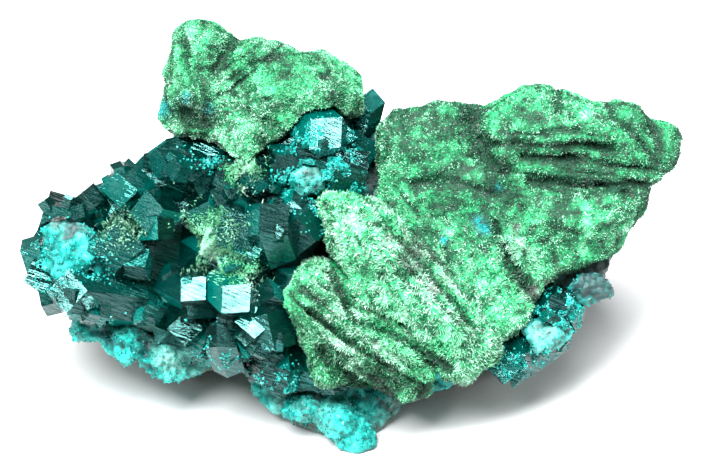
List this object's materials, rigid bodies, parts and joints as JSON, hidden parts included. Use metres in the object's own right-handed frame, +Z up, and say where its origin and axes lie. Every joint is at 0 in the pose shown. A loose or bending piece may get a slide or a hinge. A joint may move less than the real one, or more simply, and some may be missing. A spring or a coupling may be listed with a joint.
{
  "type": "dioptase mineral specimen",
  "caption": "Hand-size mineral specimen: a cluster of glassy green dioptase crystals and velvety malachite on a rough turquoise matrix, for display.",
  "frame": {"origin": "on the surface it rests on, under the middle of its bounding box", "axes": "+X across the show face to the viewer's right, +Y away from the viewer, +Z up; the show face looks towards -Y and up"},
  "size_m": [0.0708, 0.0324, 0.0383],
  "materials": {
    "matrix": "rough",
    "dioptase": "vitreous",
    "malachite": "velvety"
  },
  "bodies": {
    "root": {"matrix": "matrix", "dioptase_crystals": "dioptase", "dioptase_edge_crystals": "dioptase", "malachite_crest": "malachite", "malachite_mass": "malachite", "malachite_folds": "malachite"}
  },
  "joints": []
}
